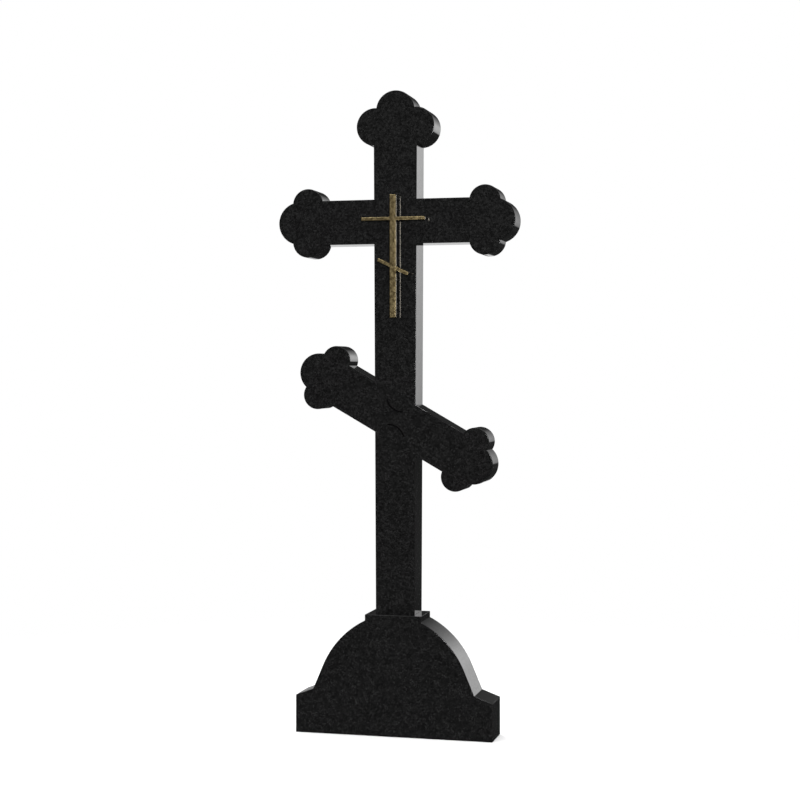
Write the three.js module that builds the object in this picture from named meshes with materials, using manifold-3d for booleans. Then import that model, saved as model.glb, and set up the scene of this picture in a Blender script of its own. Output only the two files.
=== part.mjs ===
// Granite cross monument: a slab-cut cross whose free ends have three round lobes, on a
// mound-shaped base, with a small bronze cross standing off its polished front.
// Millimetres, +Z up, front towards -Y. The origin is the middle of the base's underside.

import * as THREE from 'three';
import { mergeVertices } from 'three/addons/utils/BufferGeometryUtils.js';
import Module from 'manifold-3d';

const wasm = await Module();
wasm.setup();

// Driving dimensions

const TOTAL_HEIGHT = 1275;
const ARRIS = 1;
const BED_JOINT = 0.3;
const ARC_SAGITTA = 0.05;
const SAME_POINT = 0.01;

const BASE = {
  halfWidth: 200,
  depth: 80,
  sideHeight: 75,
  shoulderHalf: 164,
  shoulderHeight: 88.4,
  flankLean: THREE.MathUtils.degToRad(23),
  crownRadius: 182.5,
  moundTop: 228.5,
  collarHalf: 57,
  height: 240.5,
};

const SLAB_DEPTH = 60;
const SHAFT = { footHalf: 39.7, headHalf: 44, headHeight: 1204.5 };
const ARM = { height: 1017, half: 44 };
const BAR = { height: 628.4, half: 43.7, fall: THREE.MathUtils.degToRad(29.7) };

// Lobes of a free end: where the side lobes and the tip lobe lie along the limb, how far
// the side lobes stand from its middle line, and their radii.
const TIP_RADIUS = 39;
const HEAD_LOBES = {
  side: SHAFT.headHeight - ARM.height,
  spread: 41.7,
  sideRadius: 37.1,
  tip: TOTAL_HEIGHT - TIP_RADIUS - ARM.height,
  tipRadius: TIP_RADIUS,
};
const ARM_LOBES = { side: 180, spread: 37.1, sideRadius: 31.3, tip: 198.2, tipRadius: 42.3 };
const BAR_LOBES = { side: 162, spread: 39.7, sideRadius: 28.6, tip: 181.5, tipRadius: 38.8 };

// Two shallow grooves on the front, where the bar crosses the shaft: arcs that are each
// other's half turn about the bar's middle. The first one's centre is given from there.
const GROOVE = {
  centre: new THREE.Vector2(14.5, 45.5),
  radius: 33,
  start: THREE.MathUtils.degToRad(-165),
  end: THREE.MathUtils.degToRad(-88),
  width: 3.2,
  depth: 1.2,
};

const ORNAMENT = {
  foot: 826.5,
  head: 1068.2,
  uprightHalf: 6.2,
  depth: 9,
  arris: 1,
  standOff: 12,
  arm: { height: 1020.9, half: 3.35, reach: 64.4 },
  bar: { height: 926.3, half: 3.35, reach: 34.2, fall: THREE.MathUtils.degToRad(25.3) },
  stud: { radius: 4, sides: 24, bite: 2, fromEnd: 28 },
};

// Plane geometry

const FLIP = new THREE.Vector2(-1, 1);

function line(from, to) {
  return { point: from, direction: to.clone().sub(from).normalize() };
}

function mirrored(edge) {
  return { point: edge.point.clone().multiply(FLIP), direction: edge.direction.clone().multiply(FLIP) };
}

function linesCross(a, b) {
  const apart = b.point.clone().sub(a.point);
  const along = apart.cross(b.direction) / a.direction.cross(b.direction);
  return a.point.clone().addScaledVector(a.direction, along);
}

// The first point, going along the line, that lies on the circle.
function lineMeetsCircle(edge, circle) {
  const toCentre = circle.centre.clone().sub(edge.point);
  const off = toCentre.cross(edge.direction);
  const along = toCentre.dot(edge.direction) - Math.sqrt(circle.radius ** 2 - off ** 2);
  return edge.point.clone().addScaledVector(edge.direction, along);
}

// The crossing of two circles that lies on the right of the way from the first to the second.
function circlesMeet(a, b) {
  const way = b.centre.clone().sub(a.centre);
  const apart = way.length();
  way.normalize();
  const along = (apart ** 2 + a.radius ** 2 - b.radius ** 2) / (2 * apart);
  const off = Math.sqrt(a.radius ** 2 - along ** 2);
  const right = new THREE.Vector2(way.y, -way.x);
  return a.centre.clone().addScaledVector(way, along).addScaledVector(right, off);
}

// The circle through a point that touches a line from its left, and where they touch.
function circleTouching(edge, point, radius) {
  const right = new THREE.Vector2(edge.direction.y, -edge.direction.x);
  const middles = { point: edge.point.clone().addScaledVector(right, -radius), direction: edge.direction };
  const centre = lineMeetsCircle(middles, { centre: point, radius });
  return { circle: { centre, radius }, touch: centre.clone().addScaledVector(right, radius) };
}

// How many chords keep an arc within the allowed sagitta.
function arcSteps(radius, sweep) {
  return Math.ceil(sweep / (2 * Math.acos(1 - ARC_SAGITTA / radius)));
}

// Points of an anticlockwise arc, from one point on the circle to another.
function arc(circle, from, to) {
  const start = from.clone().sub(circle.centre).angle();
  let end = to.clone().sub(circle.centre).angle();
  if (end < start) end += 2 * Math.PI;
  const { x, y } = circle.centre;
  const curve = new THREE.ArcCurve(x, y, circle.radius, start, end, false);
  return curve.getPoints(arcSteps(circle.radius, end - start));
}

// Joins runs of points to one outline, leaving out points that repeat the one before.
function outlineOf(...runs) {
  const points = runs.flat();
  return points.filter((point, i) => point.distanceTo(points.at(i - 1)) > SAME_POINT);
}

// Limbs. A limb starts at its origin and points at its angle.

function limbPoint(limb, along, across) {
  return new THREE.Vector2(along, across).rotateAround(new THREE.Vector2(), limb.angle).add(limb.origin);
}

// The limb's two long edges, pointing outwards, in the order an anticlockwise walk meets them.
function limbEdges(limb) {
  return [-limb.half, limb.half].map((across) =>
    line(limbPoint(limb, 0, across), limbPoint(limb, 1, across)));
}

function lobedEnd(limb, lobes, edges) {
  const lobe = (along, across, radius) => ({ centre: limbPoint(limb, along, across), radius });
  const first = lobe(lobes.side, -lobes.spread, lobes.sideRadius);
  const tip = lobe(lobes.tip, 0, lobes.tipRadius);
  const last = lobe(lobes.side, lobes.spread, lobes.sideRadius);
  const firstCusp = circlesMeet(first, tip);
  const lastCusp = circlesMeet(tip, last);
  return [
    ...arc(first, lineMeetsCircle(edges[0], first), firstCusp),
    ...arc(tip, firstCusp, lastCusp),
    ...arc(last, lastCusp, lineMeetsCircle(edges[1], last)),
  ];
}

function squareEnd(limb, reach) {
  return [limbPoint(limb, reach, -limb.half), limbPoint(limb, reach, limb.half)];
}

// A limb's part of the outline, from where it leaves the post's side to where it comes back.
function limbOutline(limb, postSide, endOf) {
  const edges = limbEdges(limb);
  return [linesCross(edges[0], postSide), ...endOf(limb, edges), linesCross(edges[1], postSide)];
}

// A post with an arm and, below it, a bar that falls to the right, anticlockwise from its foot.
function crossOutline(post, arm, bar, armEnd, barEnd, headEnd) {
  const rightSide = line(post.foot, post.head);
  const leftSide = mirrored(rightSide);
  const limb = (spec, angle) => ({ origin: new THREE.Vector2(0, spec.height), half: spec.half, angle });
  return outlineOf(
    [post.foot],
    limbOutline(limb(bar, -bar.fall), rightSide, barEnd),
    limbOutline(limb(arm, 0), rightSide, armEnd),
    headEnd([rightSide, leftSide]),
    limbOutline(limb(arm, Math.PI), leftSide, armEnd),
    limbOutline(limb(bar, Math.PI - bar.fall), leftSide, barEnd),
    [post.foot.clone().multiply(FLIP)],
  );
}

// Solids

// A slab of an outline, lying on z = 0, with its front and back arrises taken off.
function slab(outline, depth, arris) {
  const geometry = new THREE.ExtrudeGeometry(new THREE.Shape(outline), {
    depth: depth - 2 * arris,
    steps: 1,
    bevelEnabled: true,
    bevelThickness: arris,
    bevelSize: arris,
    bevelOffset: -arris,
    bevelSegments: 1,
  });
  return geometry.translate(0, 0, arris);
}

function toManifold(geometry) {
  const bare = geometry.clone();
  bare.deleteAttribute('normal');
  bare.deleteAttribute('uv');
  const merged = mergeVertices(bare);
  return new wasm.Manifold(new wasm.Mesh({
    numProp: 3,
    vertProperties: new Float32Array(merged.attributes.position.array),
    triVerts: new Uint32Array(merged.index.array),
  }));
}

function toGeometry(manifold) {
  const mesh = manifold.getMesh();
  const geometry = new THREE.BufferGeometry();
  geometry.setAttribute('position', new THREE.BufferAttribute(mesh.vertProperties, mesh.numProp));
  geometry.setIndex(new THREE.BufferAttribute(mesh.triVerts, 1));
  geometry.computeVertexNormals();
  return geometry;
}

function baseGeometry() {
  const at = (x, y) => new THREE.Vector2(x, y);
  const foot = at(BASE.shoulderHalf, BASE.shoulderHeight);
  const top = at(BASE.collarHalf, BASE.moundTop);
  const flank = { point: foot, direction: at(-Math.sin(BASE.flankLean), Math.cos(BASE.flankLean)) };
  const crown = circleTouching(flank, top, BASE.crownRadius);
  const rightHalf = [
    at(BASE.halfWidth, 0),
    at(BASE.halfWidth, BASE.sideHeight),
    foot,
    ...arc(crown.circle, crown.touch, top),
    at(BASE.collarHalf, BASE.height),
  ];
  const leftHalf = rightHalf.map((point) => point.clone().multiply(FLIP)).reverse();
  return slab(outlineOf(rightHalf, leftHalf), BASE.depth, ARRIS);
}

// The stone that a groove takes out of the front face, turned about the bar's middle.
function grooveGeometry(turn) {
  const { centre, radius, start, end, width, depth } = GROOVE;
  const steps = arcSteps(radius, end - start);
  const rim = (offset) => new THREE.ArcCurve(centre.x, centre.y, radius + offset, start, end, false);
  const outline = [...rim(width / 2).getPoints(steps), ...rim(-width / 2).getPoints(steps).reverse()];
  return new THREE.ExtrudeGeometry(new THREE.Shape(outline), { depth: 2 * depth, bevelEnabled: false })
    .rotateZ(turn)
    .translate(0, BAR.height, SLAB_DEPTH - depth);
}

function crossGeometry() {
  const post = {
    foot: new THREE.Vector2(SHAFT.footHalf, BASE.height + BED_JOINT),
    head: new THREE.Vector2(SHAFT.headHalf, SHAFT.headHeight),
  };
  const head = { origin: new THREE.Vector2(0, ARM.height), angle: Math.PI / 2 };
  const outline = crossOutline(
    post,
    ARM,
    BAR,
    (limb, edges) => lobedEnd(limb, ARM_LOBES, edges),
    (limb, edges) => lobedEnd(limb, BAR_LOBES, edges),
    (edges) => lobedEnd(head, HEAD_LOBES, edges),
  );
  const plain = toManifold(slab(outline, SLAB_DEPTH, ARRIS));
  const cut = [0, Math.PI].map((turn) => toManifold(grooveGeometry(turn)));
  return toGeometry(plain.subtract(cut[0]).subtract(cut[1]));
}

// A stud on the ornament's back, reaching a little into it and almost to the stone.
function studGeometry(height) {
  const { radius, sides, bite } = ORNAMENT.stud;
  const length = ORNAMENT.standOff - BED_JOINT + bite;
  return new THREE.CylinderGeometry(radius, radius, length, sides)
    .rotateX(Math.PI / 2)
    .translate(0, height, bite - length / 2);
}

function ornamentGeometry() {
  const { foot, head, uprightHalf, arm, bar, depth, arris, stud } = ORNAMENT;
  const post = { foot: new THREE.Vector2(uprightHalf, foot), head: new THREE.Vector2(uprightHalf, head) };
  const outline = crossOutline(
    post,
    arm,
    bar,
    (limb) => squareEnd(limb, arm.reach),
    (limb) => squareEnd(limb, bar.reach),
    () => [post.head, new THREE.Vector2(-uprightHalf, head)],
  );
  let solid = toManifold(slab(outline, depth, arris));
  for (const height of [foot + stud.fromEnd, head - stud.fromEnd]) {
    solid = solid.add(toManifold(studGeometry(height)));
  }
  return toGeometry(solid);
}

// Scene graph

const darkGranite = () => new THREE.MeshStandardMaterial({ color: 0x1c1c1d, roughness: 0.18, metalness: 0 });
const agedBronze = () => new THREE.MeshStandardMaterial({ color: 0x7a6b49, roughness: 0.42, metalness: 0.9 });

// Stands a slab up with its back on the plane y = back and its face towards the front.
function upright(name, geometry, material, back) {
  const mesh = new THREE.Mesh(geometry, material);
  mesh.name = name;
  mesh.rotation.x = Math.PI / 2;
  mesh.position.y = back;
  return mesh;
}

const backPlane = BASE.depth / 2;
const frontFace = backPlane - SLAB_DEPTH;

const monument = new THREE.Group();
monument.name = 'granite_cross_monument';
monument.add(
  upright('base', baseGeometry(), darkGranite(), backPlane),
  upright('cross', crossGeometry(), darkGranite(), backPlane),
  upright('ornament', ornamentGeometry(), agedBronze(), frontFace - ORNAMENT.standOff),
);

export default monument;
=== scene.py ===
"""Granite cross monument: a polished stone cross on its base, with a bronze cross on its front.

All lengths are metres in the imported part's frame: +Z up, the front towards -Y, and the origin
in the middle of the base's underside.
"""

import math
from collections import namedtuple

import bmesh
import bpy
from mathutils import Matrix, Vector


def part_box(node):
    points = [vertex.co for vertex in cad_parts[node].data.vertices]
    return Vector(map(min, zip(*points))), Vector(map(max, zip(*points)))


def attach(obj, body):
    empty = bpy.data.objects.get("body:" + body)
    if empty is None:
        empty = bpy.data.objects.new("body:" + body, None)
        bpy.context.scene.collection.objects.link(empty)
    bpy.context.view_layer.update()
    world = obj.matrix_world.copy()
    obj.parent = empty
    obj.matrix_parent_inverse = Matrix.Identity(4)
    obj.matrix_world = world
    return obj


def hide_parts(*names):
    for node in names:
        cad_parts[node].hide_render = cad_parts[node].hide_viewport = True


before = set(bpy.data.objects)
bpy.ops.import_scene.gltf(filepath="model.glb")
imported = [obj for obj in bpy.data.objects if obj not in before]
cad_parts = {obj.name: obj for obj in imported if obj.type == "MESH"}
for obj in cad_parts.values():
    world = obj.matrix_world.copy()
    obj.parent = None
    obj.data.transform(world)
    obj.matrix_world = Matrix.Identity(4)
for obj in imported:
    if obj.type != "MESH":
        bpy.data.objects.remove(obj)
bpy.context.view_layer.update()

bl_info = {
    "name": "Granite Cross Monument",
    "version": (1, 0, 0),
    "blender": (4, 5, 0),
    "location": "View3D > Sidebar > Monument",
    "description": "Builds a polished granite grave cross, its base and its bronze front cross",
    "category": "Add Mesh",
}

BODY = "root"
ARC_SAGITTA = 0.000008
SAME_POINT = 0.000002
ARRIS_ANGLE = math.radians(25)
CREASE_ANGLE = math.radians(35)
ARRIS_ROUNDING = 4
ROD_SEGMENTS = 20
STUD_SEGMENTS = 48
ARRIS_LAYER = "arris"
# Faces marked in this layer are darkened in colour: painted shade in the stone's grooves, dark tarnish
# on the bronze's studs.
SHADE_AND_TARNISH_LAYER = "soil"

BASE_LOW, BASE_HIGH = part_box("base")
CROSS_LOW, CROSS_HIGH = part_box("cross")
ORNAMENT_LOW, ORNAMENT_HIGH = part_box("ornament")


# Properties

def length(name, description, metres):
    return bpy.props.FloatProperty(
        name=name, description=description, default=metres, precision=4,
        subtype="DISTANCE", unit="LENGTH")


def angle(name, description, degrees):
    return bpy.props.FloatProperty(
        name=name, description=description, default=math.radians(degrees),
        subtype="ANGLE", unit="ROTATION")


def share(name, description, value):
    return bpy.props.FloatProperty(
        name=name, description=description, default=value, min=0.0, max=1.0, subtype="FACTOR")


def light_level(name, description, value):
    return bpy.props.FloatProperty(name=name, description=description, default=value, min=0.0)


def power(name, description, watts):
    return bpy.props.FloatProperty(
        name=name, description=description, default=watts, min=0.0, subtype="POWER", unit="POWER")


def tint(name, description, *rgb):
    return bpy.props.FloatVectorProperty(
        name=name, description=description, default=rgb, size=3, min=0.0, max=1.0, subtype="COLOR")


class BaseSizes(bpy.types.PropertyGroup):
    """The mound-shaped base, as its front shows it."""
    half_width: length("Half width", "From the middle to the upright outer sides", BASE_HIGH.x)
    side_height: length("Side height", "Height of the upright outer sides", 0.075)
    shoulder_half: length("Shoulder half width", "From the middle to the mound's foot", 0.164)
    shoulder_height: length("Shoulder height", "Height of the shoulders at the mound's foot", 0.0884)
    flank_lean: angle("Flank lean", "How far the mound's straight flanks lean in", 23.0)
    crown_radius: length("Crown radius", "Radius of the mound's round crown, above the flanks", 0.1825)
    mound_top: length("Mound top", "Height where the mound meets the collar", 0.2285)
    collar_half: length("Collar half width", "From the middle to the collar's ends", 0.057)
    height: length("Height", "Height of the collar's flat top", BASE_HIGH.z)
    arris: length("Arris", "How far the stone's sharp edges are rounded off", 0.001)


class HeadLobes(bpy.types.PropertyGroup):
    """The three lobes of the cross's head, measured up from the arm's middle line."""
    side: length("Side lobes", "Place of the side lobes along the limb", 0.1875)
    spread: length("Spread", "How far the side lobes stand from the middle line", 0.0417)
    side_radius: length("Side radius", "Radius of the side lobes", 0.0371)
    tip: length("Tip lobe", "Place of the tip lobe along the limb", 0.219)
    tip_radius: length("Tip radius", "Radius of the tip lobe", 0.039)


class ArmLobes(bpy.types.PropertyGroup):
    """The three lobes of an arm's end, measured from the shaft's middle line."""
    side: length("Side lobes", "Place of the side lobes along the limb", 0.18)
    spread: length("Spread", "How far the side lobes stand from the middle line", 0.0371)
    side_radius: length("Side radius", "Radius of the side lobes", 0.0313)
    tip: length("Tip lobe", "Place of the tip lobe along the limb", 0.1982)
    tip_radius: length("Tip radius", "Radius of the tip lobe", 0.0423)


class BarLobes(bpy.types.PropertyGroup):
    """The three lobes of the slanted bar's end, measured from the shaft's middle line."""
    side: length("Side lobes", "Place of the side lobes along the limb", 0.162)
    spread: length("Spread", "How far the side lobes stand from the middle line", 0.0397)
    side_radius: length("Side radius", "Radius of the side lobes", 0.0286)
    tip: length("Tip lobe", "Place of the tip lobe along the limb", 0.1815)
    tip_radius: length("Tip radius", "Radius of the tip lobe", 0.0388)


class CrossSizes(bpy.types.PropertyGroup):
    """The slab-cut stone cross, as its front shows it."""
    foot_half: length("Foot half width", "From the middle to the shaft's sides at its foot", 0.0397)
    head_half: length("Head half width", "From the middle to the shaft's sides at its head", 0.044)
    head_height: length("Head height", "Height of the head's side lobes", 1.2045)
    arm_height: length("Arm height", "Height of the arm's middle line", 1.017)
    arm_half: length("Arm half width", "From the arm's middle line to its edges", 0.044)
    bar_height: length("Bar height", "Height where the slanted bar crosses the shaft", 0.6284)
    bar_half: length("Bar half width", "From the slanted bar's middle line to its edges", 0.0437)
    bar_fall: angle("Bar fall", "How far the slanted bar falls to the right", 29.7)
    arris: length("Arris", "How far the stone's sharp edges are rounded off", 0.001)
    head_lobes: bpy.props.PointerProperty(name="Head lobes", type=HeadLobes)
    arm_lobes: bpy.props.PointerProperty(name="Arm lobes", type=ArmLobes)
    bar_lobes: bpy.props.PointerProperty(name="Bar lobes", type=BarLobes)


class GrooveSizes(bpy.types.PropertyGroup):
    """The two curved grooves where the slanted bar crosses the shaft."""
    across: length("Across", "The first curve's centre, right of the bar's middle", 0.0145)
    up: length("Up", "The first curve's centre, above the bar's middle", 0.0455)
    radius: length("Radius", "Radius of the curves", 0.033)
    start: angle("Start", "Direction from the centre to the first curve's start", -165.0)
    sweep: angle("Sweep", "How far the curves turn", 77.0)
    half_width: length("Half width", "Radius of the grooves' round section", 0.0017)
    depth: length("Depth", "How deep the grooves go", 0.0014)


class OrnamentSizes(bpy.types.PropertyGroup):
    """The bronze cross on the front."""
    upright_half: length("Upright half width", "From the middle to the upright's sides", 0.0062)
    arm_height: length("Arm height", "Height of the arm's middle line", 1.0209)
    arm_half: length("Arm half width", "From the arm's middle line to its edges", 0.00335)
    arm_reach: length("Arm reach", "From the middle to the arm's ends", ORNAMENT_HIGH.x)
    bar_height: length("Bar height", "Height where the slanted bar crosses the upright", 0.9263)
    bar_half: length("Bar half width", "From the slanted bar's middle line to its edges", 0.00335)
    bar_reach: length("Bar reach", "From the middle to the slanted bar's ends", 0.0342)
    bar_fall: angle("Bar fall", "How far the slanted bar falls to the right", 25.3)
    depth: length("Depth", "Thickness of the bars", 0.009)
    arris: length("Arris", "How far the bars' edges are rounded off", 0.001)
    stud_radius: length("Stud radius", "Radius of the two studs on the back", 0.004)
    stud_from_end: length("Stud place", "From the upright's ends to the studs", 0.028)
    stud_bite: length("Stud bite", "How far the studs reach into the upright", 0.002)


class StoneFinish(bpy.types.PropertyGroup):
    """Dark fine-grained granite, polished."""
    crystal: length("Crystal", "Size of the larger crystals", 0.0034)
    darkest: tint("Darkest crystals", "Colour of the darkest crystals", 0.003, 0.003, 0.003)
    common: tint("Common crystals", "Colour of most crystals", 0.0072, 0.0072, 0.0072)
    lightest: tint("Lightest crystals", "Colour of the few lightest crystals", 0.0155, 0.0155, 0.0155)
    fleck: tint("Flecks", "Colour of the fine bright flecks", 0.03, 0.03, 0.0305)
    honed: tint("Honed edge", "Colour of the rubbed edges", 0.011, 0.011, 0.011)
    # Painted shade: the grooves take this darker colour in place of the shade that falls in them.
    groove_shade: tint("Soiled grooves", "Colour of the painted shade in the grooves", 0.0032, 0.0032, 0.0032)
    weak_polish: share("Weak polish", "How much polish the crystals that polish worst take", 0.9)
    edge_polish: share("Edge polish", "How much polish the rubbed edges keep", 0.16)
    polish_roughness: share("Polish roughness", "Roughness of the polish", 0.06)


class BronzeFinish(bpy.types.PropertyGroup):
    """Cast bronze with an aged golden surface."""
    bright: tint("Bright metal", "Colour where the surface is rubbed", 0.245, 0.193, 0.1)
    aged: tint("Aged metal", "Colour of the duller patches", 0.074, 0.055, 0.025)
    tarnish: tint("Tarnish", "Colour of the dark tarnish on studs and spots", 0.039, 0.027, 0.011)
    roughness: share("Roughness", "Roughness of the aged metal", 0.37)
    tarnish_roughness: share("Tarnish roughness", "Roughness of the dark tarnish", 0.57)


class StageSettings(bpy.types.PropertyGroup):
    """Floor, lights and camera."""
    floor_colour: tint("Floor", "Colour of the floor", 0.9, 0.9, 0.9)
    floor_bounce: tint("Floor bounce", "Colour of the light that the floor sends back", 0.45, 0.45, 0.45)
    backdrop: tint("Backdrop", "Colour behind the monument", 1.0, 1.0, 1.0)
    ambient: light_level("Ambient", "Light of the dim surroundings", 0.042)
    overhead: power("Overhead", "Power of the soft light above", 205.0)
    front: power("Front", "Power of the soft light beside the camera", 112.0)
    back: power("Back", "Power of the soft light behind the monument", 200.0)


# Plane geometry of the outlines, with points as (across, up)

Edge = namedtuple("Edge", "point direction")
Circle = namedtuple("Circle", "centre radius")
Limb = namedtuple("Limb", "origin angle half")


def place(across, up):
    return Vector((across, up))


def flipped(vector):
    return place(-vector.x, vector.y)


def cross_product(a, b):
    return a.x * b.y - a.y * b.x


def edge_between(start, end):
    return Edge(start, (end - start).normalized())


def edges_cross(a, b):
    along = cross_product(b.point - a.point, b.direction) / cross_product(a.direction, b.direction)
    return a.point + along * a.direction


def edge_meets_circle(edge, circle):
    """The first point on the circle, going along the edge."""
    to_centre = circle.centre - edge.point
    off = cross_product(to_centre, edge.direction)
    along = to_centre.dot(edge.direction) - math.sqrt(circle.radius ** 2 - off ** 2)
    return edge.point + along * edge.direction


def circles_meet(a, b):
    """The crossing on the right of the way from the first circle to the second."""
    way = b.centre - a.centre
    apart = way.length
    way.normalize()
    along = (apart ** 2 + a.radius ** 2 - b.radius ** 2) / (2 * apart)
    off = math.sqrt(a.radius ** 2 - along ** 2)
    return a.centre + along * way + off * place(way.y, -way.x)


def circle_touching(edge, point, radius):
    """The circle through a point that touches an edge from its left, and where they touch."""
    right = place(edge.direction.y, -edge.direction.x)
    centre = edge_meets_circle(Edge(edge.point - radius * right, edge.direction), Circle(point, radius))
    return Circle(centre, radius), centre + radius * right


def limb_point(limb, along, across):
    return limb.origin + Matrix.Rotation(limb.angle, 2) @ place(along, across)


def limb_edges(limb):
    """The limb's two long edges, pointing outwards, in the order an anticlockwise walk meets them."""
    return [
        edge_between(limb_point(limb, 0.0, across), limb_point(limb, 1.0, across))
        for across in (-limb.half, limb.half)
    ]


# Meshes

def arc_steps(radius, sweep):
    """How many chords keep an arc within the allowed sagitta."""
    return math.ceil(sweep / (2 * math.acos(1 - ARC_SAGITTA / radius)))


class OutlinePen:
    """Draws an outline anticlockwise in an upright plane, one edge or arc after the other."""

    def __init__(self, start, y):
        self.mesh = bmesh.new()
        self.y = y
        self.start = start
        self.tip = self.mesh.verts.new(self.in_space(start))

    def in_space(self, point):
        return Vector((point.x, self.y, point.y))

    def line_to(self, point):
        self.tip = bmesh.ops.extrude_vert_indiv(self.mesh, verts=[self.tip])["verts"][0]
        self.tip.co = self.in_space(point)

    def arc_to(self, circle, point):
        start = place(self.tip.co.x, self.tip.co.z) - circle.centre
        end = point - circle.centre
        sweep = (math.atan2(end.y, end.x) - math.atan2(start.y, start.x)) % math.tau
        spun = bmesh.ops.spin(
            self.mesh, geom=[self.tip], cent=self.in_space(circle.centre), axis=(0.0, -1.0, 0.0),
            angle=sweep, steps=arc_steps(circle.radius, sweep))
        self.tip = vertices_of(spun["geom_last"])[0]

    def slab(self, depth):
        """Closes the outline and gives the slab of that depth behind it."""
        self.line_to(self.start)
        bmesh.ops.remove_doubles(self.mesh, verts=self.mesh.verts, dist=SAME_POINT)
        front = bmesh.ops.contextual_create(self.mesh, geom=self.mesh.edges[:])["faces"]
        grown = bmesh.ops.extrude_face_region(self.mesh, geom=front)
        bmesh.ops.translate(self.mesh, verts=vertices_of(grown["geom"]), vec=(0.0, depth, 0.0))
        bmesh.ops.recalc_face_normals(self.mesh, faces=self.mesh.faces)
        return self.mesh


def lies_at(edge, height):
    """Whether an edge lies level at a height, if one is given."""
    return height is not None and all(abs(vertex.co.z - height) < SAME_POINT for vertex in edge.verts)


def vertices_of(geometry):
    return [part for part in geometry if isinstance(part, bmesh.types.BMVert)]


def round_arrises(mesh, width, seat=None):
    """Rounds off the sharp outer edges, except around a seat, and marks the faces that this makes."""
    layer = mesh.faces.layers.float.new(ARRIS_LAYER)
    sharp = [
        edge for edge in mesh.edges
        if edge.is_convex and edge.calc_face_angle() > ARRIS_ANGLE and not lies_at(edge, seat)
    ]
    rounded = bmesh.ops.bevel(
        mesh, geom=sharp, offset=width, offset_type="OFFSET", segments=ARRIS_ROUNDING,
        profile=0.5, affect="EDGES", material=-1)
    for face in rounded["faces"]:
        face[layer] = 1.0


def mark_shade_and_tarnish(mesh):
    """Marks a tool's faces for darkening: the groove it cuts takes painted shade, and the stud it adds
    takes dark tarnish.
    """
    layer = mesh.faces.layers.float.new(SHADE_AND_TARNISH_LAYER)
    for face in mesh.faces:
        face[layer] = 1.0


def to_object(name, mesh):
    data = bpy.data.meshes.new(name)
    mesh.to_mesh(data)
    mesh.free()
    piece = bpy.data.objects.new(name, data)
    bpy.context.scene.collection.objects.link(piece)
    return piece


def combine(piece, tool, operation):
    """Cuts or joins a piece with another closed shape, which is used up."""
    change = piece.modifiers.new("combine", "BOOLEAN")
    change.operation = operation
    change.solver = "EXACT"
    change.object = tool
    seen = piece.evaluated_get(bpy.context.evaluated_depsgraph_get())
    combined = bpy.data.meshes.new_from_object(seen)
    piece.modifiers.clear()
    before = piece.data
    name = before.name
    piece.data = combined
    bpy.data.meshes.remove(before)
    combined.name = name
    bpy.data.meshes.remove(tool.data)


def finish_piece(piece, node, material):
    """Checks that a piece is closed, smooths it, and puts it in its node's place."""
    check = bmesh.new()
    check.from_mesh(piece.data)
    closed = all(edge.is_manifold for edge in check.edges)
    check.free()
    if not closed:
        raise RuntimeError(f"{piece.name} is not a closed shape")
    piece.data.shade_smooth()
    piece.data.set_sharp_from_angle(angle=CREASE_ANGLE)
    flat = piece.modifiers.new("flat_faces", "WEIGHTED_NORMAL")
    flat.keep_sharp = True
    piece.data.materials.clear()
    piece.data.materials.append(material)
    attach(piece, BODY)
    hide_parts(node)


def draw_lobed_end(pen, limb, lobes, edges):
    first = Circle(limb_point(limb, lobes.side, -lobes.spread), lobes.side_radius)
    tip = Circle(limb_point(limb, lobes.tip, 0.0), lobes.tip_radius)
    last = Circle(limb_point(limb, lobes.side, lobes.spread), lobes.side_radius)
    pen.line_to(edge_meets_circle(edges[0], first))
    pen.arc_to(first, circles_meet(first, tip))
    pen.arc_to(tip, circles_meet(tip, last))
    pen.arc_to(last, edge_meets_circle(edges[1], last))


def draw_square_end(pen, limb, reach):
    pen.line_to(limb_point(limb, reach, -limb.half))
    pen.line_to(limb_point(limb, reach, limb.half))


def draw_limb(pen, limb, post_side, draw_end):
    """A limb's part of the outline, from where it leaves the post's side to where it comes back."""
    edges = limb_edges(limb)
    pen.line_to(edges_cross(edges[0], post_side))
    draw_end(limb, edges)
    pen.line_to(edges_cross(edges[1], post_side))


def draw_cross(pen, foot, head, sizes, draw_arm_end, draw_bar_end, draw_head):
    """A post with an arm and, below it, a bar that falls to the right."""
    right_side = edge_between(foot, head)
    left_side = Edge(flipped(right_side.point), flipped(right_side.direction))
    arm = Limb(place(0.0, sizes.arm_height), 0.0, sizes.arm_half)
    bar = Limb(place(0.0, sizes.bar_height), -sizes.bar_fall, sizes.bar_half)
    draw_limb(pen, bar, right_side, draw_bar_end)
    draw_limb(pen, arm, right_side, draw_arm_end)
    draw_head(right_side, left_side)
    draw_limb(pen, arm._replace(angle=math.pi), left_side, draw_arm_end)
    draw_limb(pen, bar._replace(angle=math.pi - sizes.bar_fall), left_side, draw_bar_end)
    pen.line_to(flipped(foot))


def base_mesh(sizes):
    foot = place(sizes.shoulder_half, sizes.shoulder_height)
    top = place(sizes.collar_half, sizes.mound_top)
    flank = Edge(foot, place(-math.sin(sizes.flank_lean), math.cos(sizes.flank_lean)))
    crown, touch = circle_touching(flank, top, sizes.crown_radius)
    pen = OutlinePen(place(-sizes.half_width, BASE_LOW.z), BASE_LOW.y)
    pen.line_to(place(sizes.half_width, BASE_LOW.z))
    pen.line_to(place(sizes.half_width, sizes.side_height))
    pen.line_to(foot)
    pen.line_to(touch)
    pen.arc_to(crown, top)
    pen.line_to(place(sizes.collar_half, sizes.height))
    pen.line_to(place(-sizes.collar_half, sizes.height))
    pen.line_to(flipped(top))
    pen.arc_to(Circle(flipped(crown.centre), crown.radius), flipped(touch))
    pen.line_to(flipped(foot))
    pen.line_to(place(-sizes.half_width, sizes.side_height))
    mesh = pen.slab(BASE_HIGH.y - BASE_LOW.y)
    round_arrises(mesh, sizes.arris)
    return mesh


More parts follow.
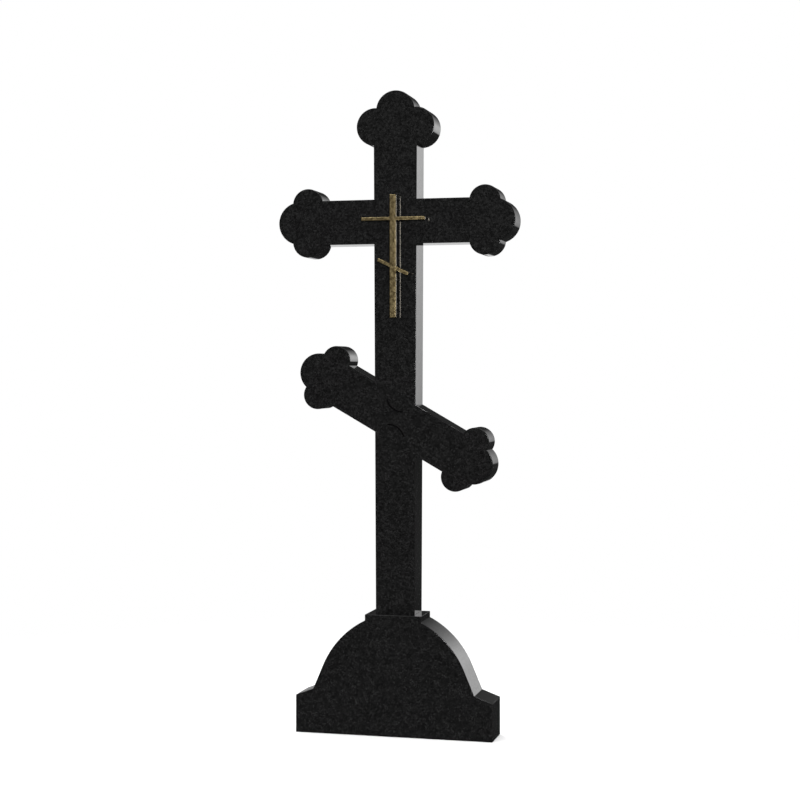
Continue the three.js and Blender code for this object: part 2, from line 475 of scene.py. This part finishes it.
def cross_mesh(sizes):
    foot = place(sizes.foot_half, CROSS_LOW.z)
    pen = OutlinePen(foot, CROSS_LOW.y)
    head = Limb(place(0.0, sizes.arm_height), math.pi / 2, None)
    draw_cross(
        pen, foot, place(sizes.head_half, sizes.head_height), sizes,
        lambda limb, edges: draw_lobed_end(pen, limb, sizes.arm_lobes, edges),
        lambda limb, edges: draw_lobed_end(pen, limb, sizes.bar_lobes, edges),
        lambda *sides: draw_lobed_end(pen, head, sizes.head_lobes, sides))
    mesh = pen.slab(CROSS_HIGH.y - CROSS_LOW.y)
    round_arrises(mesh, sizes.arris, seat=CROSS_LOW.z)
    return mesh


def groove_mesh(sizes, middle, face):
    """The round rods that cut the two grooves, each other's half turn about the bar's middle."""
    mesh = bmesh.new()
    outward = (0.0, -1.0, 0.0)
    rod = bmesh.ops.create_circle(
        mesh, cap_ends=True, segments=ROD_SEGMENTS, radius=sizes.half_width)["verts"]
    off_face = sizes.half_width - sizes.depth
    bmesh.ops.translate(mesh, verts=rod, vec=(sizes.radius, -off_face, 0.0))
    bmesh.ops.rotate(
        mesh, verts=rod, cent=(0.0, 0.0, 0.0), matrix=Matrix.Rotation(sizes.start, 3, outward))
    bmesh.ops.translate(mesh, verts=rod, vec=(sizes.across, 0.0, sizes.up))
    bmesh.ops.spin(
        mesh, geom=mesh.verts[:] + mesh.edges[:] + mesh.faces[:],
        cent=(sizes.across, 0.0, sizes.up), axis=outward,
        angle=sizes.sweep, steps=arc_steps(sizes.radius, sizes.sweep))
    copied = bmesh.ops.duplicate(mesh, geom=mesh.verts[:] + mesh.edges[:] + mesh.faces[:])
    bmesh.ops.rotate(
        mesh, verts=vertices_of(copied["geom"]), cent=(0.0, 0.0, 0.0),
        matrix=Matrix.Rotation(math.pi, 3, outward))
    bmesh.ops.translate(mesh, verts=mesh.verts, vec=(0.0, face, middle))
    bmesh.ops.recalc_face_normals(mesh, faces=mesh.faces)
    mark_shade_and_tarnish(mesh)
    return mesh


def ornament_mesh(sizes):
    foot = place(sizes.upright_half, ORNAMENT_LOW.z)
    head = place(sizes.upright_half, ORNAMENT_HIGH.z)
    pen = OutlinePen(foot, ORNAMENT_LOW.y)

    def draw_head(*_sides):
        pen.line_to(head)
        pen.line_to(flipped(head))

    draw_cross(
        pen, foot, head, sizes,
        lambda limb, _edges: draw_square_end(pen, limb, sizes.arm_reach),
        lambda limb, _edges: draw_square_end(pen, limb, sizes.bar_reach),
        draw_head)
    mesh = pen.slab(sizes.depth)
    round_arrises(mesh, sizes.arris)
    return mesh


def stud_mesh(sizes):
    """The two studs on the ornament's back."""
    mesh = bmesh.new()
    start = ORNAMENT_LOW.y + sizes.depth - sizes.stud_bite
    stud_length = ORNAMENT_HIGH.y - start
    for height in (ORNAMENT_LOW.z + sizes.stud_from_end, ORNAMENT_HIGH.z - sizes.stud_from_end):
        stud = bmesh.ops.create_cone(
            mesh, cap_ends=True, segments=STUD_SEGMENTS, radius1=sizes.stud_radius,
            radius2=sizes.stud_radius, depth=stud_length)["verts"]
        bmesh.ops.rotate(
            mesh, verts=stud, cent=(0.0, 0.0, 0.0), matrix=Matrix.Rotation(math.pi / 2, 3, "X"))
        bmesh.ops.translate(mesh, verts=stud, vec=(0.0, start + stud_length / 2, height))
    mark_shade_and_tarnish(mesh)
    return mesh


# Materials

STONE_IOR = 1.52
LARGE_CRYSTAL_SHARE = 0.62
SMALL_CRYSTAL_FINENESS = 2.4
FLECK_FINENESS = 4.2
CLOUD_CONTRAST = 0.14


def add_node(tree, kind, inputs=None, **settings):
    """Adds a node, and sets or links its inputs."""
    node = tree.nodes.new(kind)
    for name, value in settings.items():
        setattr(node, name, value)
    for key, value in (inputs or {}).items():
        if isinstance(value, bpy.types.NodeSocket):
            tree.links.new(value, node.inputs[key])
        else:
            node.inputs[key].default_value = value
    return node


def calculate(tree, operation, *values):
    inputs = dict(enumerate(values))
    return add_node(tree, "ShaderNodeMath", inputs, operation=operation).outputs[0]


def remap(tree, value, low, high, to_low=0.0, to_high=1.0, smooth=False):
    inputs = {"Value": value, "From Min": low, "From Max": high, "To Min": to_low, "To Max": to_high}
    interpolation = "SMOOTHSTEP" if smooth else "LINEAR"
    return add_node(
        tree, "ShaderNodeMapRange", inputs, interpolation_type=interpolation).outputs["Result"]


def mix_colours(tree, factor, first, second, blend="MIX"):
    mixer = add_node(tree, "ShaderNodeMix", data_type="RGBA", blend_type=blend)
    sockets = (mixer.inputs["Factor"], *(s for s in mixer.inputs if s.type == "RGBA"))
    for socket, value in zip(sockets, (factor, first, second)):
        if isinstance(value, bpy.types.NodeSocket):
            tree.links.new(value, socket)
        else:
            socket.default_value = value
    return next(s for s in mixer.outputs if s.type == "RGBA")


def opaque(rgb):
    return (*rgb, 1.0)


def new_group(name, inputs, outputs):
    """A shader node group with float inputs and outputs, unless a socket's name says Vector."""
    tree = bpy.data.node_groups.new(name, "ShaderNodeTree")
    for direction, names in (("INPUT", inputs), ("OUTPUT", outputs)):
        for socket in names:
            kind = "NodeSocketVector" if "Vector" in socket else "NodeSocketFloat"
            tree.interface.new_socket(socket, in_out=direction, socket_type=kind)
    return tree, tree.nodes.new("NodeGroupInput"), tree.nodes.new("NodeGroupOutput")


def use_group(tree, group, inputs):
    return add_node(tree, "ShaderNodeGroup", inputs, node_tree=group)


def surface_marks_group():
    """Where the rounded edges are rubbed, unevenly, and which faces are darkened: painted shade in the
    stone's grooves, tarnish on the bronze's studs.
    """
    name = "surface_marks"
    if name in bpy.data.node_groups:
        return bpy.data.node_groups[name]
    tree, given, made = new_group(name, ("Vector", "Gap Scale"), ("Rubbed", "Soiled"))
    gaps = add_node(tree, "ShaderNodeTexNoise", {
        "Vector": given.outputs["Vector"], "Scale": given.outputs["Gap Scale"], "Detail": 3.0})
    kept = remap(tree, gaps.outputs["Fac"], 0.35, 0.6, 0.4, 1.0)
    edges = add_node(tree, "ShaderNodeAttribute", attribute_name=ARRIS_LAYER).outputs["Fac"]
    soil = add_node(tree, "ShaderNodeAttribute", attribute_name=SHADE_AND_TARNISH_LAYER).outputs["Fac"]
    tree.links.new(calculate(tree, "MULTIPLY", edges, kept), made.inputs["Rubbed"])
    tree.links.new(soil, made.inputs["Soiled"])
    return tree


def crystal_group():
    """Crystals with uneven outlines: a random shade for each, and a second one for its polish."""
    name = "crystals"
    if name in bpy.data.node_groups:
        return bpy.data.node_groups[name]
    tree, given, made = new_group(name, ("Vector", "Scale", "Unevenness"), ("Shade", "Second Shade"))
    vector = given.outputs["Vector"]
    noise = add_node(tree, "ShaderNodeTexNoise", {
        "Vector": vector, "Scale": given.outputs["Scale"], "Detail": 2.0})
    centred = add_node(tree, "ShaderNodeVectorMath", {
        0: noise.outputs["Color"], 1: (0.5, 0.5, 0.5)}, operation="SUBTRACT").outputs[0]
    reach = calculate(tree, "DIVIDE", given.outputs["Unevenness"], given.outputs["Scale"])
    shift = add_node(tree, "ShaderNodeVectorMath", {0: centred, "Scale": reach}, operation="SCALE")
    shifted = add_node(tree, "ShaderNodeVectorMath", {0: vector, 1: shift.outputs[0]}, operation="ADD")
    cells = add_node(tree, "ShaderNodeTexVoronoi", {
        "Vector": shifted.outputs[0], "Scale": given.outputs["Scale"]})
    shades = add_node(tree, "ShaderNodeSeparateColor", {"Color": cells.outputs["Color"]})
    tree.links.new(shades.outputs["Red"], made.inputs["Shade"])
    tree.links.new(shades.outputs["Green"], made.inputs["Second Shade"])
    return tree


def new_material(name):
    """A material with an empty tree, its shader, and the object's coordinates."""
    material = bpy.data.materials.new(name)
    material.use_nodes = True
    tree = material.node_tree
    tree.nodes.clear()
    shader = tree.nodes.new("ShaderNodeBsdfPrincipled")
    output = tree.nodes.new("ShaderNodeOutputMaterial")
    tree.links.new(shader.outputs["BSDF"], output.inputs["Surface"])
    coordinates = tree.nodes.new("ShaderNodeTexCoord").outputs["Object"]
    return material, tree, shader, coordinates


def granite_material(finish):
    """Polished dark granite: crystals of two sizes, a few light ones, and fine bright flecks."""
    name = "dark_granite"
    if name in bpy.data.materials:
        return bpy.data.materials[name]
    material, tree, shader, place_on = new_material(name)
    scale = 1.0 / finish.crystal
    large = use_group(tree, crystal_group(), {"Vector": place_on, "Scale": scale, "Unevenness": 0.8})
    small = use_group(tree, crystal_group(), {
        "Vector": place_on, "Scale": SMALL_CRYSTAL_FINENESS * scale, "Unevenness": 0.5})
    flecks = use_group(tree, crystal_group(), {
        "Vector": place_on, "Scale": FLECK_FINENESS * scale, "Unevenness": 0.3})
    weighted = calculate(tree, "MULTIPLY", large.outputs["Shade"], LARGE_CRYSTAL_SHARE)
    small_share = 1.0 - LARGE_CRYSTAL_SHARE
    shade = calculate(tree, "MULTIPLY_ADD", small.outputs["Shade"], small_share, weighted)
    ramp = add_node(tree, "ShaderNodeValToRGB", {"Fac": shade})
    stops = ramp.color_ramp.elements
    stops[0].position = 0.15
    stops[0].color = opaque(finish.darkest)
    stops[1].position = 0.92
    stops[1].color = opaque(finish.lightest)
    stops.new(0.55).color = opaque(finish.common)
    clouds = add_node(tree, "ShaderNodeTexNoise", {"Vector": place_on, "Scale": 70.0, "Detail": 4.0})
    tone = remap(tree, clouds.outputs["Fac"], 0.3, 0.7, 1.0 - CLOUD_CONTRAST, 1.0 + CLOUD_CONTRAST)
    grain = mix_colours(tree, 1.0, ramp.outputs["Color"], tone, "MULTIPLY")
    fleck = remap(tree, flecks.outputs["Shade"], 0.985, 0.992)
    speckled = mix_colours(tree, fleck, grain, opaque(finish.fleck))
    marks = use_group(tree, surface_marks_group(), {"Vector": place_on, "Gap Scale": 60.0})
    rubbed = marks.outputs["Rubbed"]
    # Painted shade: the groove faces are darkened in colour, standing in for the shade in the grooves,
    # and they lose their polish.
    groove_shade = marks.outputs["Soiled"]
    edged = mix_colours(tree, rubbed, speckled, opaque(finish.honed))
    colour = mix_colours(tree, groove_shade, edged, opaque(finish.groove_shade))
    face_polish = remap(tree, large.outputs["Second Shade"], 0.0, 1.0, finish.weak_polish, 1.0)
    edge_polish = remap(tree, rubbed, 0.0, 1.0, face_polish, finish.edge_polish)
    polish = remap(tree, groove_shade, 0.0, 1.0, edge_polish, 0.0)
    tree.links.new(colour, shader.inputs["Base Color"])
    tree.links.new(polish, shader.inputs["Coat Weight"])
    shader.inputs["Coat Roughness"].default_value = finish.polish_roughness
    shader.inputs["Coat IOR"].default_value = STONE_IOR
    shader.inputs["Specular IOR Level"].default_value = 0.0
    return material


def bronze_material(finish):
    """Cast bronze: golden, mottled and spotted, rubbed on its edges, with a fine cast skin."""
    material, tree, shader, place_on = new_material("old_bronze")
    patches = add_node(tree, "ShaderNodeTexNoise", {
        "Vector": place_on, "Scale": 150.0, "Detail": 5.0, "Roughness": 0.65})
    marks = use_group(tree, surface_marks_group(), {"Vector": place_on, "Gap Scale": 220.0})
    worn = calculate(
        tree, "MAXIMUM", remap(tree, patches.outputs["Fac"], 0.38, 0.62), marks.outputs["Rubbed"])
    spots = use_group(tree, crystal_group(), {"Vector": place_on, "Scale": 480.0, "Unevenness": 1.0})
    spot = remap(tree, spots.outputs["Shade"], 0.7, 0.95, 0.0, 0.6)
    mottled = mix_colours(tree, worn, opaque(finish.aged), opaque(finish.bright))
    # The darkened faces on the bronze are its studs, which take the dark tarnish.
    dark = calculate(tree, "MAXIMUM", spot, marks.outputs["Soiled"])
    colour = mix_colours(tree, dark, mottled, opaque(finish.tarnish))
    roughness = remap(tree, dark, 0.0, 1.0, finish.roughness, finish.tarnish_roughness)
    skin = add_node(tree, "ShaderNodeTexNoise", {"Vector": place_on, "Scale": 1600.0, "Detail": 3.0})
    relief = add_node(tree, "ShaderNodeBump", {
        "Strength": 0.25, "Distance": 0.0004, "Height": skin.outputs["Fac"]})
    tree.links.new(colour, shader.inputs["Base Color"])
    tree.links.new(roughness, shader.inputs["Roughness"])
    tree.links.new(relief.outputs["Normal"], shader.inputs["Normal"])
    shader.inputs["Metallic"].default_value = 1.0
    return material


def floor_material(settings, inner, outer):
    """A plain pale floor that fades into the backdrop and sends back less light than it shows."""
    material, tree, shader, place_on = new_material("pale_floor")
    away = add_node(tree, "ShaderNodeVectorMath", {0: place_on}, operation="LENGTH").outputs["Value"]
    tree.links.new(remap(tree, away, inner, outer, 1.0, 0.0, smooth=True), shader.inputs["Alpha"])
    seen = add_node(tree, "ShaderNodeLightPath").outputs["Is Camera Ray"]
    colour = mix_colours(tree, seen, opaque(settings.floor_bounce), opaque(settings.floor_colour))
    tree.links.new(colour, shader.inputs["Base Color"])
    shader.inputs["Roughness"].default_value = 0.9
    shader.inputs["Specular IOR Level"].default_value = 0.0
    return material


# Stage

CAMERA_PLACE = Vector((0.82546, -3.23414, 0.72222))
CAMERA_TURN = math.radians(14.239)
CAMERA_DIP = math.radians(0.9945)
PICTURE_PIXELS = 800
FOCAL_PIXELS = 1679.36
SENSOR_WIDTH = 36.0
FLOOR_RADIUS = 1.6
FLOOR_FADE_START = 0.4
FLOOR_SEGMENTS = 96
LEAST_DEPTH = 0.001

# The soft square lamps. Each takes its power from the setting of its name, and faces a point.
# The stone and the bronze mirror a lamp only where it says so.
Lamp = namedtuple("Lamp", "name side location target mirrored")
MIDDLE = Vector((0.0, 0.0, (BASE_LOW.z + CROSS_HIGH.z) / 2))
LAMPS = (
    Lamp("overhead", 4.0, Vector((0.0, -0.8, 3.6)), Vector((0.0, -0.3, 0.0)), True),
    Lamp("front", 0.8, Vector((1.0, -3.5, 1.2)), MIDDLE, True),
    Lamp("back", 2.0, Vector((-2.4, 3.2, 2.0)), MIDDLE, False),
)

# Soft cards on the studio's back wall, as the stone's polished sides reflect them. A side is
# (where the light starts, where it is full), measured across and up the wall at one metre.
WallCard = namedtuple("WallCard", "left right low high light")
WALL_CARDS = (
    WallCard((-0.09, 0.2), (0.9, 0.6), (-0.056, -0.018), (0.7, 0.35), 0.45),
    WallCard((0.17, 0.29), (0.9, 0.6), (-0.056, -0.018), (0.7, 0.35), 1.12),
    WallCard((0.1, 0.25), (0.9, 0.6), (-0.04, 0.14), (0.7, 0.35), 0.62),
    WallCard((-0.06, 0.2), (0.9, 0.6), (0.1, 0.22), (0.7, 0.35), 0.25),
    WallCard((-0.42, -0.33), (-0.1, -0.14), (-0.165, -0.14), (-0.045, -0.06), 1.11),
    WallCard((0.1, 0.18), (0.5, 0.35), (-0.155, -0.125), (-0.04, -0.11), 0.022),
)


def soft_card_group():
    tree, given, made = new_group(
        "soft_card",
        ("Across", "Up", "Left Start", "Left Full", "Right Start", "Right Full",
         "Low Start", "Low Full", "High Start", "High Full"), ("Light",))
    light = 1.0
    for side, measured in (("Left", "Across"), ("Right", "Across"), ("Low", "Up"), ("High", "Up")):
        fade = remap(
            tree, given.outputs[measured], given.outputs[side + " Start"],
            given.outputs[side + " Full"], smooth=True)
        light = calculate(tree, "MULTIPLY", light, fade)
    tree.links.new(light, made.inputs["Light"])
    return tree


def make_surroundings(settings):
    """A plain backdrop for the camera, and a dim studio with soft cards for the reflections."""
    world = bpy.data.worlds.new("studio")
    bpy.context.scene.world = world
    world.use_nodes = True
    tree = world.node_tree
    tree.nodes.clear()
    towards = add_node(tree, "ShaderNodeSeparateXYZ", {
        0: add_node(tree, "ShaderNodeTexCoord").outputs["Generated"]})
    back = calculate(tree, "MAXIMUM", towards.outputs["Y"], LEAST_DEPTH)
    across = calculate(tree, "DIVIDE", towards.outputs["X"], back)
    up = calculate(tree, "DIVIDE", towards.outputs["Z"], back)
    group = soft_card_group()
    light = settings.ambient
    for card in WALL_CARDS:
        inputs = {"Across": across, "Up": up}
        for side in ("left", "right", "low", "high"):
            start, full = getattr(card, side)
            inputs[f"{side.title()} Start"] = start
            inputs[f"{side.title()} Full"] = full
        shape = use_group(tree, group, inputs).outputs["Light"]
        light = calculate(tree, "MULTIPLY_ADD", shape, card.light, light)
    studio = add_node(tree, "ShaderNodeBackground", {"Strength": light})
    backdrop = add_node(tree, "ShaderNodeBackground", {"Color": opaque(settings.backdrop)})
    seen = add_node(tree, "ShaderNodeLightPath").outputs["Is Camera Ray"]
    mixed = add_node(tree, "ShaderNodeMixShader", {
        "Fac": seen, 1: studio.outputs[0], 2: backdrop.outputs[0]})
    output = tree.nodes.new("ShaderNodeOutputWorld")
    tree.links.new(mixed.outputs[0], output.inputs["Surface"])


def make_lamp(lamp, watts):
    light = bpy.data.lights.new(lamp.name, "AREA")
    light.energy = watts
    light.size = lamp.side
    placed = bpy.data.objects.new(lamp.name, light)
    placed.location = lamp.location
    placed.rotation_euler = (lamp.target - lamp.location).to_track_quat("-Z", "Y").to_euler()
    placed.visible_camera = False
    placed.visible_glossy = lamp.mirrored
    bpy.context.scene.collection.objects.link(placed)


def make_floor(settings):
    mesh = bmesh.new()
    bmesh.ops.create_circle(mesh, cap_ends=True, segments=FLOOR_SEGMENTS, radius=FLOOR_RADIUS)
    floor = to_object("floor", mesh)
    floor.data.materials.append(floor_material(settings, FLOOR_FADE_START, FLOOR_RADIUS))
    floor.visible_glossy = False


def make_camera():
    view = bpy.data.cameras.new("camera")
    view.sensor_width = SENSOR_WIDTH
    view.lens = SENSOR_WIDTH * FOCAL_PIXELS / PICTURE_PIXELS
    camera = bpy.data.objects.new("camera", view)
    camera.location = CAMERA_PLACE
    camera.rotation_euler = (math.pi / 2 - CAMERA_DIP, 0.0, CAMERA_TURN)
    bpy.context.scene.collection.objects.link(camera)
    bpy.context.scene.camera = camera


# Operators

class MONUMENT_OT_base(bpy.types.Operator):
    """Make the mound-shaped base"""
    bl_idname = "monument.base"
    bl_label = "Base"

    def execute(self, context):
        scene = context.scene
        piece = to_object("granite_base", base_mesh(scene.monument_base))
        finish_piece(piece, "base", granite_material(scene.monument_stone))
        return {"FINISHED"}


class MONUMENT_OT_cross(bpy.types.Operator):
    """Make the stone cross with its lobed ends and its two grooves"""
    bl_idname = "monument.cross"
    bl_label = "Cross"

    def execute(self, context):
        scene = context.scene
        sizes = scene.monument_cross
        piece = to_object("granite_cross", cross_mesh(sizes))
        rods = groove_mesh(scene.monument_grooves, sizes.bar_height, CROSS_LOW.y)
        combine(piece, to_object("groove_rods", rods), "DIFFERENCE")
        finish_piece(piece, "cross", granite_material(scene.monument_stone))
        return {"FINISHED"}


class MONUMENT_OT_ornament(bpy.types.Operator):
    """Make the bronze cross with the studs that hold it off the stone"""
    bl_idname = "monument.ornament"
    bl_label = "Ornament"

    def execute(self, context):
        scene = context.scene
        sizes = scene.monument_ornament
        piece = to_object("bronze_cross", ornament_mesh(sizes))
        combine(piece, to_object("studs", stud_mesh(sizes)), "UNION")
        finish_piece(piece, "ornament", bronze_material(scene.monument_bronze))
        return {"FINISHED"}


class MONUMENT_OT_stage(bpy.types.Operator):
    """Make the floor, the lights and the camera"""
    bl_idname = "monument.stage"
    bl_label = "Stage"

    def execute(self, context):
        settings = context.scene.monument_stage
        context.scene.view_settings.view_transform = "Standard"
        make_camera()
        make_floor(settings)
        make_surroundings(settings)
        for lamp in LAMPS:
            make_lamp(lamp, getattr(settings, lamp.name))
        return {"FINISHED"}


class MONUMENT_PT_panel(bpy.types.Panel):
    """Sizes, finishes and the steps that make the monument"""
    bl_idname = "MONUMENT_PT_panel"
    bl_label = "Granite Cross Monument"
    bl_space_type = "VIEW_3D"
    bl_region_type = "UI"
    bl_category = "Monument"

    def draw(self, context):
        for name in SETTINGS:
            box = self.layout.box()
            draw_settings(box, getattr(context.scene, name))
        for operator in STEPS:
            self.layout.operator(operator.bl_idname)


def draw_settings(layout, settings):
    layout.label(text=settings.bl_rna.description)
    for name in settings.__annotations__:
        value = getattr(settings, name)
        if isinstance(value, bpy.types.PropertyGroup):
            draw_settings(layout.box(), value)
        else:
            layout.prop(settings, name)


STEPS = (MONUMENT_OT_base, MONUMENT_OT_cross, MONUMENT_OT_ornament, MONUMENT_OT_stage)
SETTINGS = {
    "monument_base": BaseSizes,
    "monument_cross": CrossSizes,
    "monument_grooves": GrooveSizes,
    "monument_ornament": OrnamentSizes,
    "monument_stone": StoneFinish,
    "monument_bronze": BronzeFinish,
    "monument_stage": StageSettings,
}
CLASSES = (HeadLobes, ArmLobes, BarLobes, *SETTINGS.values(), *STEPS, MONUMENT_PT_panel)


def register():
    for each in CLASSES:
        bpy.utils.register_class(each)
    for name, group in SETTINGS.items():
        setattr(bpy.types.Scene, name, bpy.props.PointerProperty(type=group))


def unregister():
    for name in SETTINGS:
        delattr(bpy.types.Scene, name)
    for each in reversed(CLASSES):
        bpy.utils.unregister_class(each)


def main():
    register()
    bpy.ops.monument.base()
    bpy.ops.monument.cross()
    bpy.ops.monument.ornament()
    bpy.ops.monument.stage()


if __name__ == "__main__":
    main()
